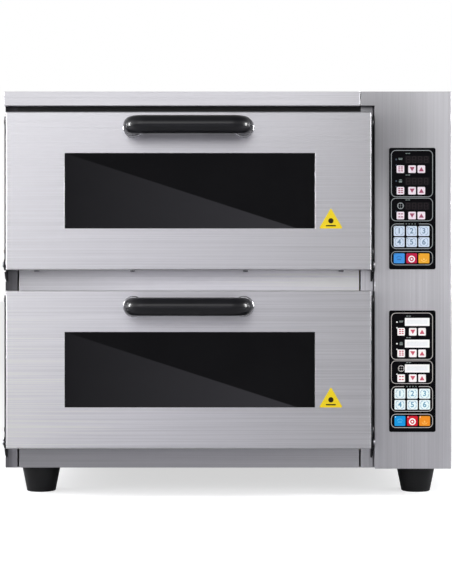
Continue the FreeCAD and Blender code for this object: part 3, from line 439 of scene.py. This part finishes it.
# ---------------------------------------------------------------- flat printed work
# Outlines are lists of (u, v) points in millimetres: u to the right, v up, from a panel's middle.
def rounded(u0, u1, v0, v1, radius, steps=6):
    """A rectangle with round corners, anticlockwise from the lower right."""
    points = []
    centres = ((u1 - radius, v0 + radius, -90), (u1 - radius, v1 - radius, 0),
               (u0 + radius, v1 - radius, 90), (u0 + radius, v0 + radius, 180))
    for u, v, start in centres:
        for i in range(steps + 1):
            a = math.radians(start + 90 * i / steps)
            points.append((u + radius * math.cos(a), v + radius * math.sin(a)))
    return points


def disc(u, v, radius, steps=28):
    turns = [2 * math.pi * i / steps for i in range(steps)]
    return [(u + radius * math.cos(a), v + radius * math.sin(a)) for a in turns]


def arc_points(u, v, radius, start, stop, steps=8):
    angles = [math.radians(start + (stop - start) * i / steps) for i in range(steps + 1)]
    return [(u + radius * math.cos(a), v + radius * math.sin(a)) for a in angles]


def beside(points, offset):
    """A line's points moved sideways, to the left of its direction when offset is positive."""
    moved = []
    for i, point in enumerate(points):
        before, after = points[max(i - 1, 0)], points[min(i + 1, len(points) - 1)]
        along = Vector((after[0] - before[0], after[1] - before[1])).normalized()
        moved.append((point[0] - along.y * offset, point[1] + along.x * offset))
    return moved


class Print:
    """Thin raised areas of one ink on a plane that faces -Y, gathered into one mesh."""

    def __init__(self, middle, shift=0.0):
        self.middle = middle + Vector((shift * MM, 0, 0))
        self.mesh = bmesh.new()

    def corner(self, point, lift):
        return self.mesh.verts.new((self.middle.x + point[0] * MM, self.middle.y - lift * MM,
                                    self.middle.z + point[1] * MM))

    def area(self, outline, low, high):
        """A closed slab over the outline, from low to high above the plane."""
        base = [self.corner(p, low) for p in outline]
        face = [self.corner(p, high) for p in outline]
        self.mesh.faces.new(face)
        self.mesh.faces.new(base[::-1])
        for i in range(len(outline)):
            j = (i + 1) % len(outline)
            self.mesh.faces.new((base[i], base[j], face[j], face[i]))

    def band(self, outer, inner, low, high, closed=True):
        """A closed slab between two outlines that have the same number of points."""
        rows = [[self.corner(p, lift) for p in line] for line in (outer, inner) for lift in (low, high)]
        outer_low, outer_high, inner_low, inner_high = rows
        count = len(outer)
        for i in range(count if closed else count - 1):
            j = (i + 1) % count
            self.mesh.faces.new((outer_high[i], outer_high[j], inner_high[j], inner_high[i]))
            self.mesh.faces.new((inner_low[i], inner_low[j], outer_low[j], outer_low[i]))
            self.mesh.faces.new((outer_low[i], outer_low[j], outer_high[j], outer_high[i]))
            self.mesh.faces.new((inner_high[i], inner_high[j], inner_low[j], inner_low[i]))
        if not closed:
            self.mesh.faces.new((outer_low[0], outer_high[0], inner_high[0], inner_low[0]))
            self.mesh.faces.new((inner_low[-1], inner_high[-1], outer_high[-1], outer_low[-1]))

    def stroke(self, points, width, low, high):
        self.band(beside(points, -width / 2), beside(points, width / 2), low, high, closed=False)

    def ring(self, u0, u1, v0, v1, radius, width, low, high):
        self.band(rounded(u0, u1, v0, v1, radius),
                  rounded(u0 + width, u1 - width, v0 + width, v1 - width, radius - width), low, high)

    def numeral(self, text, u, v, size, low, high):
        """A plain figure centred on (u, v)."""
        curve = bpy.data.curves.new("numeral", "FONT")
        curve.body = text
        curve.size = size
        curve.align_x, curve.align_y = "CENTER", "CENTER"
        curve.offset = 0.022 * size
        curve.extrude = (high - low) / 2
        shape = bpy.data.objects.new("numeral", curve)
        mesh = bpy.data.meshes.new_from_object(shape)
        for vertex in mesh.vertices:
            x, y, z = vertex.co
            lift = (low + high) / 2 + z
            vertex.co = (self.middle.x + (u + x) * MM, self.middle.y - lift * MM,
                         self.middle.z + (v + y) * MM)
        self.mesh.from_mesh(mesh)
        bpy.data.meshes.remove(mesh)
        bpy.data.objects.remove(shape)
        bpy.data.curves.remove(curve)

    def finish(self, name, material, body, slot):
        """Makes the gathered areas one piece that rides on a body."""
        bmesh.ops.remove_doubles(self.mesh, verts=self.mesh.verts, dist=1e-8)
        bmesh.ops.recalc_face_normals(self.mesh, faces=self.mesh.faces)
        data = bpy.data.meshes.new(name)
        self.mesh.to_mesh(data)
        self.mesh.free()
        piece = bpy.data.objects.new(name, data)
        data.materials.append(material)
        bpy.context.collection.objects.link(piece)
        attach(piece, body)
        return piece


# ---------------------------------------------------------------- keypads
BOX_LEFT, BOX_RIGHT, BOX_LINE, BOX_CORNER = -26.7, 25.7, 0.8, 6.0
BOXES = ((14.4, 73.2), (-15.8, 13.4), (-50.6, -18.8), (-71.0, -53.4))
HEADING_GAP = (-10.5, 8.0)      # the third box's upper line is broken for its heading
SMALL_KEY_COLUMNS = (-19.7, -5.1, 6.5)
SMALL_KEY_ROWS = (44.6, 17.6, -13.5)
SMALL_KEY = 9.5
WIDE_COLUMNS = ((-23.3, -9.7), (-7.6, 5.8), (7.6, 21.3))
NUMBER_ROWS = ((-34.4, -21.9), (-48.1, -36.0))
COLOUR_ROW = (-68.5, -56.1)
KEY_SHIFT = {"upper": 0.0, "lower": 0.9}    # the lower keypad's keys are printed a little to the right
DISPLAYS = {"upper": ((56.6, 66.0), (29.6, 39.0), (-1.6, 7.8)),
            "lower": ((56.7, 66.7), (29.6, 39.5), (-1.6, 8.5))}
DISPLAY_LEFT, DISPLAY_RIGHT = -9.4, 21.5
HEAT_ICONS = ((61.5, -1), (34.5, 1))    # height, and 1 for heat from below or -1 for heat from above
CLOCK = (-14.8, 3.4)
HEADING_ROWS, HEADING_COLUMNS = (69.0, 42.0, 10.8), (-8.6, -5.4)
INK, OVER = (0.0, 0.05), (0.05, 0.09)   # heights above the film of the first and second ink

INK_TONES = {
    "upper": {"line": (148, 153, 156), "key": (234, 222, 231), "arrow": (158, 76, 104),
              "number_key": (206, 219, 236), "numeral": (112, 138, 164), "icon": (120, 132, 130),
              "blue": (66, 146, 222), "red": (186, 28, 66), "amber": (234, 166, 46),
              "white": (240, 236, 240), "lamp": (72, 84, 98), "display": (15, 14, 17),
              "segment": (38, 30, 34), "shade": (48, 112, 178), "glint": (248, 206, 120),
              "ring": (148, 153, 156)},
    "lower": {"line": (186, 182, 180), "key": (252, 246, 246), "arrow": (204, 92, 112),
              "number_key": (238, 250, 253), "numeral": (112, 168, 196), "icon": (126, 136, 134),
              "blue": (24, 156, 228), "red": (212, 24, 44), "amber": (242, 146, 34),
              "white": (255, 252, 252), "lamp": (250, 252, 252), "display": (254, 254, 254),
              "segment": (241, 243, 245), "shade": (84, 186, 240), "glint": (250, 196, 104),
              "ring": (186, 182, 180)},
}


def keypad_inks(deck):
    """A deck's inks. The lower keypad is the brighter one, and its displays are white."""
    return {name: printed(f"ink_{deck}_{name}", srgb(*tone)) for name, tone in INK_TONES[deck].items()}


def print_boxes(ink):
    """The four lines round groups of keys. The third is open at the top, between HEADING_GAP."""
    for index, (low, high) in enumerate(BOXES):
        if index != 2:
            ink.ring(BOX_LEFT, BOX_RIGHT, low, high, BOX_CORNER, BOX_LINE, *INK)
            continue
        line = rounded(BOX_LEFT + BOX_LINE / 2, BOX_RIGHT - BOX_LINE / 2,
                       low + BOX_LINE / 2, high - BOX_LINE / 2, BOX_CORNER)
        upper_right = [p for p in line if p[1] > low + BOX_CORNER and p[0] > 0]
        upper_left = [p for p in line if p[1] > low + BOX_CORNER and p[0] < 0]
        bottom = [p for p in line if p[1] <= low + BOX_CORNER + BOX_LINE]
        left_low = [p for p in bottom if p[0] < 0]
        right_low = [p for p in bottom if p[0] > 0]
        top = high - BOX_LINE / 2
        path = ([(HEADING_GAP[0], top)] + upper_left + left_low + right_low + upper_right
                + [(HEADING_GAP[1], top)])
        ink.stroke(path, BOX_LINE, *INK)


def arrow(ink, u, v, way):
    """A filled triangle on a key whose lower left corner is (u, v)."""
    middle, half, tall = SMALL_KEY / 2, 3.1, 2.7
    tip, back = v + middle + way * tall, v + middle - way * tall
    ink.area([(u + middle - half, back), (u + middle + half, back), (u + middle, tip)], *OVER)


def print_small_keys(keys, arrows):
    for v in SMALL_KEY_ROWS:
        for u in SMALL_KEY_COLUMNS:
            keys.area(rounded(u, u + SMALL_KEY, v, v + SMALL_KEY, 1.2), *INK)
        arrow(arrows, SMALL_KEY_COLUMNS[1], v, -1)
        arrow(arrows, SMALL_KEY_COLUMNS[2], v, 1)


def print_function_marks(marks):
    """Plain bars in place of the words on the three function keys."""
    wide, tall = 2.5, 1.3
    u = SMALL_KEY_COLUMNS[0]
    for row, v in enumerate(SMALL_KEY_ROWS):
        for left in (2.1, 5.4):
            for low in ((2.0, 4.4, 6.8) if row < 2 else (2.4, 6.2)):
                marks.area(rounded(u + left, u + left + wide, v + low, v + low + tall, 0.4, 3), *OVER)


def print_number_keys(keys, numerals):
    """Six keys with their numerals, each inside four round corner brackets."""
    size, line, corner = 9.4, 0.45, 3.0
    for index in range(6):
        (u0, u1), (v0, v1) = WIDE_COLUMNS[index % 3], NUMBER_ROWS[index // 3]
        keys.area(rounded(u0, u1, v0, v1, 1.4), *INK)
        u, v = (u0 + u1) / 2, (v0 + v1) / 2
        numerals.numeral(str(index + 1), u, v, size, *OVER)
        for quarter in range(4):
            across = 1 if quarter in (0, 3) else -1
            upward = 1 if quarter < 2 else -1
            start = 90 * quarter
            bend = arc_points(u + across * 1.9, v + upward * 1.7, corner, start, start + 90)
            lead = (u + across * 4.9, v + upward * 0.6)
            bracket = [lead] + bend if across == upward else bend + [lead]
            numerals.stroke(bracket, line, *OVER)


def print_colour_keys(prints):
    """A blue key with a lid, a red one with a ring and dot, and an amber one with a dish."""
    for (u0, u1), name in zip(WIDE_COLUMNS, ("blue", "red", "amber")):
        prints[name].area(rounded(u0, u1, *COLOUR_ROW, 1.2), *INK)
    left, middle, right = (sum(column) / 2 for column in WIDE_COLUMNS)
    v = sum(COLOUR_ROW) / 2 - 0.9
    prints["white"].band(disc(middle, v, 4.3), disc(middle, v, 2.7), *OVER)
    prints["white"].area(disc(middle, v, 1.3), *OVER)
    prints["shade"].stroke(arc_points(left, v, 3.4, 20, 160), 0.8, *OVER)
    prints["shade"].area(rounded(left - 2.6, left + 2.6, v - 1.2, v + 0.2, 0.5, 3), *OVER)
    prints["glint"].stroke(arc_points(right, v + 0.6, 3.6, 200, 340), 0.7, *OVER)
    prints["glint"].area([(right - 1.3, v - 1.0), (right + 1.3, v - 1.0), (right, v + 1.6)], *OVER)


def print_icons(marks, lamps, white):
    """A heat icon and a lamp beside two displays, the clock beside the third, and the keys' lamps."""
    for v, way in HEAT_ICONS:
        foot, head = v - 1.9 * way, v + 0.4 * way
        inset = 0.8 * (way > 0)
        marks.area([(-17.6 + inset, foot), (-12.2 - inset, foot), (-12.9, head), (-16.9, head)], *INK)
        marks.area(rounded(-16.6, -13.2, v + 1.0, v + 2.0, 0.4, 3), *INK)
        lamps.area(disc(-20.2, v, 1.0), *INK)
    white.band(disc(*CLOCK, 4.1), disc(*CLOCK, 3.2), *INK)
    for quarter in range(4):
        a = math.radians(90 * quarter)
        tick = [(CLOCK[0] + r * math.cos(a), CLOCK[1] + r * math.sin(a)) for r in (1.9, 3.3)]
        white.stroke(tick, 0.7, *INK)
    white.area(disc(*CLOCK, 0.55), *INK)
    for v in SMALL_KEY_ROWS:
        lamps.area(disc(SMALL_KEY_COLUMNS[0] - 0.5, v + SMALL_KEY + 0.3, 0.85), *OVER)
    for u0, _ in WIDE_COLUMNS:
        for v in (NUMBER_ROWS[0][1], NUMBER_ROWS[1][1], COLOUR_ROW[1]):
            lamps.area(disc(u0 + 1.3, v - 1.2, 0.6), *OVER)


def print_headings(marks):
    """Small plain bars in place of the captions over the displays and in the third box's line."""
    for v in HEADING_ROWS:
        for u in HEADING_COLUMNS:
            marks.area(rounded(u, u + 2.6, v - 0.5, v + 0.5, 0.4, 3), *INK)
    top = BOXES[2][1] - BOX_LINE / 2
    for step in range(4):
        u = -7.6 + 3.7 * step
        marks.area(rounded(u - 0.8, u + 0.8, top - 0.6, top + 0.6, 0.4, 3), *INK)


def segment(ink, u, v, length, upright):
    """One bar of a figure, with pointed ends, from (u, v) to the right or upwards."""
    half, tip = 0.42, 0.5
    line = [(0, 0), (tip, half), (length - tip, half), (length, 0), (length - tip, -half), (tip, -half)]
    ink.area([(u + b, v + a) if upright else (u + a, v + b) for a, b in line], *OVER)


def print_displays(deck, glass, segments):
    """Display windows: unlit seven-bar figures behind the upper ones, a blank field in the lower."""
    bar, tall, pitch = 4.4, 3.7, 7.5
    for low, high in DISPLAYS[deck]:
        glass.area(rounded(DISPLAY_LEFT, DISPLAY_RIGHT, low, high, 0.4, 3), *INK)
        if deck == "lower":
            field = rounded(DISPLAY_LEFT + 2.6, DISPLAY_RIGHT - 2.6, low + 2.4, high - 2.4, 0.4, 3)
            segments.area(field, *OVER)
            continue
        for digit in range(4):
            u = DISPLAY_LEFT + 2.0 + pitch * digit
            base = (low + high) / 2 - tall
            for level in range(3):
                segment(segments, u, base + tall * level, bar, upright=False)
            for side in (0, bar):
                for level in range(2):
                    segment(segments, u + side, base + tall * level, tall, upright=True)


def build_keypad(deck):
    """Prints a deck's keypad on its film, one piece for each ink."""
    low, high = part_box(f"{deck}_keypad_overlay")
    middle = Vector(((low.x + high.x) / 2, low.y, (low.z + high.z) / 2))
    inks = keypad_inks(deck)
    fixed = ("line", "display", "segment")      # the inks that KEY_SHIFT leaves in place
    prints = {name: Print(middle, 0 if name in fixed else KEY_SHIFT[deck]) for name in inks}
    print_boxes(prints["line"])
    print_displays(deck, prints["display"], prints["segment"])
    print_small_keys(prints["key"], prints["arrow"])
    print_function_marks(prints["arrow"])
    print_number_keys(prints["number_key"], prints["numeral"])
    print_colour_keys(prints)
    print_icons(prints["icon"], prints["lamp"], prints["ring"])
    print_headings(prints["icon"])
    for name, sheet in prints.items():
        sheet.finish(f"{deck}_keypad_{name}", inks[name], "casing", "keypad_film")


# ---------------------------------------------------------------- door labels
LABEL_CORNER = 1.2
LABEL_FIELD = 0.7               # the yellow field's share of the label's thickness


def build_label(deck, materials):
    """A plain yellow triangle with a disc over a bar."""
    node, body = f"{deck}_door_label", f"{deck}_door"
    low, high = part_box(node)
    width, height, thick = (high.x - low.x) / MM, (high.z - low.z) / MM, (high.y - low.y) / MM
    middle = Vector(((low.x + high.x) / 2, high.y, low.z))
    field, mark = Print(middle), Print(middle)
    reach = width / 2 - LABEL_CORNER
    tip = height - LABEL_CORNER
    lean = 90 - math.degrees(math.atan2(tip - LABEL_CORNER, reach))
    outline = (arc_points(reach, LABEL_CORNER, LABEL_CORNER, -90, lean)
               + arc_points(0, tip, LABEL_CORNER, lean, 180 - lean)
               + arc_points(-reach, LABEL_CORNER, LABEL_CORNER, 180 - lean, 270))
    field.area(outline, 0, thick * LABEL_FIELD)
    mark.area(rounded(-6.3, 6.3, 2.7, 4.3, 0.7, 4), thick * LABEL_FIELD, thick)
    mark.area(disc(0, 9.6, 3.3), thick * LABEL_FIELD, thick)
    sticker = field.finish(f"{deck}_label_field", materials["label_vinyl"], body, "label_vinyl")
    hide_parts(node)
    ink = printed(f"ink_{deck}_label", srgb(38, 32, 14))
    mark.finish(f"{deck}_label_mark", ink, body, "label_vinyl")


# ---------------------------------------------------------------- studio
WINDOW_WIDTH, WINDOW_HEIGHT, WINDOW_SHIFT = 310.7 * MM, 93.6 * MM, 1.6 * MM
CARD_DISTANCE, CARD_GAP = 1.35, 0.01    # from the windows to the first cards, and on to the second ones
# Outlines of the cards, in widths and heights of a window from its middle.
PATCH = ((-0.5, 0.5), (-0.56, 0.5), (-0.56, -0.56), (0.475, -0.56), (0.43, -0.5))
FLAG = ((-0.56, 0.56), (-0.56, -0.56), (0.56, -0.56), (0.56, 0.56))
PATCH_GLOW, FLAG_GLOW = (0.42, 1.7), (0.22, 0.22)       # at the cards' left and right ends
HANDLES = (-0.05, -0.25, 0.3)
FRONT = (0, -0.2, 0.25)
WHITE = (1, 1, 1, 1)
REAR_LEVEL = 0.85               # how bright the room is behind the oven


def emitter(name, low, high):
    """A glow that grows from low at the left to high at the right."""
    material = bpy.data.materials.new(name)
    tree = cleared(material)
    place = node_of(tree, "ShaderNodeSeparateXYZ")
    tree.links.new(node_of(tree, "ShaderNodeTexCoord").outputs["Generated"], place.inputs[0])
    glow = node_of(tree, "ShaderNodeEmission", Color=(0.9, 0.88, 1, 1))
    tree.links.new(ranged(tree, place.outputs["X"], low, high, 0, 1), glow.inputs["Strength"])
    output = node_of(tree, "ShaderNodeOutputMaterial")
    tree.links.new(glow.outputs[0], output.inputs["Surface"])
    return material


def add_card(name, deck, camera, outline, distance, glow):
    """A card that only reflections show. It is placed so that the camera sees the outline mirrored in
    a door's window."""
    low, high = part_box(f"{deck}_door_shell")
    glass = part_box(f"{deck}_door_outer_glass")[0].y
    middle = Vector(((low.x + high.x) / 2 + WINDOW_SHIFT, glass, (low.z + high.z) / 2))
    eye = Vector((camera.location.x, 2 * glass - camera.location.y, camera.location.z))
    spread = (eye.y - glass + distance) / (eye.y - glass)
    mesh = bmesh.new()
    for across, upward in outline:
        seen = middle + Vector((across * WINDOW_WIDTH, 0, upward * WINDOW_HEIGHT))
        mesh.verts.new(eye + (seen - eye) * spread)
    mesh.faces.new(mesh.verts)
    data = bpy.data.meshes.new(name)
    mesh.to_mesh(data)
    mesh.free()
    card = bpy.data.objects.new(name, data)
    data.materials.append(emitter(name, *glow))
    for ray in ("visible_camera", "visible_diffuse", "visible_shadow", "visible_transmission"):
        setattr(card, ray, False)
    bpy.context.collection.objects.link(card)


def add_softbox(name, place, target, width, height, radiance):
    """A rectangular lamp at a place, turned towards a target."""
    light = bpy.data.lights.new(name, "AREA")
    light.shape = "RECTANGLE"
    light.size, light.size_y = width, height
    light.energy = radiance * width * height * math.pi
    box = bpy.data.objects.new(name, light)
    box.location = place
    box.rotation_euler = (Vector(target) - Vector(place)).to_track_quat("-Z", "Y").to_euler()
    bpy.context.collection.objects.link(box)
    return box


def by_ray(tree, kind, seen, reflected):
    """Ends a tree with one shader for the camera's own rays and another for all the rest."""
    choice = node_of(tree, "ShaderNodeMixShader")
    tree.links.new(node_of(tree, "ShaderNodeLightPath").outputs["Is Camera Ray"], choice.inputs[0])
    tree.links.new(reflected.outputs[0], choice.inputs[1])
    tree.links.new(seen.outputs[0], choice.inputs[2])
    tree.links.new(choice.outputs[0], node_of(tree, kind).inputs["Surface"])


def add_floor():
    """A pale floor that looks nearly white, and that steel reflects as a mid grey."""
    bpy.ops.mesh.primitive_circle_add(vertices=96, radius=40, fill_type="NGON", location=(0, 0, 0))
    floor = bpy.context.object
    floor.name = "studio_floor"
    material = bpy.data.materials.new("studio_floor")
    tree = cleared(material)
    grain = noise(tree, coordinates(tree, (30, 30, 30)))
    pale = node_of(tree, "ShaderNodeBsdfDiffuse")
    tree.links.new(mixed(tree, ranged(tree, grain, 0, 1), srgb(196, 196, 198), srgb(200, 200, 202)),
                   pale.inputs["Color"])
    lit = node_of(tree, "ShaderNodeAddShader")
    tree.links.new(pale.outputs[0], lit.inputs[0])
    tree.links.new(node_of(tree, "ShaderNodeEmission", Strength=0.62).outputs[0], lit.inputs[1])
    dull = node_of(tree, "ShaderNodeBsdfDiffuse", Color=srgb(160, 160, 162))
    by_ray(tree, "ShaderNodeOutputMaterial", lit, dull)
    floor.data.materials.append(material)


def add_world():
    """A white room. What it lights and mirrors is brighter on the left, and dim overhead."""
    world = bpy.data.worlds.new("studio")
    tree = cleared(world)
    parts = node_of(tree, "ShaderNodeSeparateXYZ")
    tree.links.new(node_of(tree, "ShaderNodeTexCoord").outputs["Generated"], parts.inputs[0])
    level = node_of(tree, "ShaderNodeMix", B=REAR_LEVEL)
    tree.links.new(ranged(tree, parts.outputs["Y"], 0, 1, 0.05, 0.45), level.inputs["Factor"])
    tree.links.new(ranged(tree, parts.outputs["X"], 1.13, 0.5, -0.32, 0.24), level.inputs["A"])
    strength = level.outputs["Result"]
    for low, high, start, stop in ((0.92, 1.0, -0.12, 0.3), (1.0, 0.25, 0.3, 0.7)):
        product = node_of(tree, "ShaderNodeMath", operation="MULTIPLY")
        tree.links.new(strength, product.inputs[0])
        tree.links.new(ranged(tree, parts.outputs["Z"], low, high, start, stop), product.inputs[1])
        strength = product.outputs[0]
    room = node_of(tree, "ShaderNodeBackground", Color=WHITE)
    tree.links.new(strength, room.inputs["Strength"])
    backdrop = node_of(tree, "ShaderNodeBackground", Color=WHITE, Strength=1.0)
    by_ray(tree, "ShaderNodeOutputWorld", backdrop, room)
    bpy.context.scene.world = world


def add_studio(camera):
    bpy.context.scene.view_settings.view_transform = "Standard"
    add_world()
    add_floor()
    for deck in DECKS:
        add_card(f"{deck}_patch", deck, camera, PATCH, CARD_DISTANCE, PATCH_GLOW)
        add_card(f"{deck}_flag", deck, camera, FLAG, CARD_DISTANCE + CARD_GAP, FLAG_GLOW)
    add_softbox("side_left", (-1.2, -0.36, 0.5), HANDLES, 0.22, 0.5, 32)
    add_softbox("side_right", (1.12, -0.4, 0.5), HANDLES, 0.22, 0.5, 26)
    add_softbox("behind", (0.7, 2.1, 1.3), (0, 0.2, 0.25), 1.4, 1.0, 1.6)
    fill = add_softbox("fill", (0, -2.6, 0.8), FRONT, 2.0, 1.4, 2.6)
    fill.visible_glossy = False     # it lifts the printed work and the floor, not the steel
    add_softbox("overhead", (-0.3, -1.78, 0.84), FRONT, 1.3, 0.72, 0.84)


# ---------------------------------------------------------------- the scene
materials = make_materials()
add_studio(add_camera())
dress_cad(materials)
for deck in DECKS:
    build_keypad(deck)
    build_label(deck, materials)
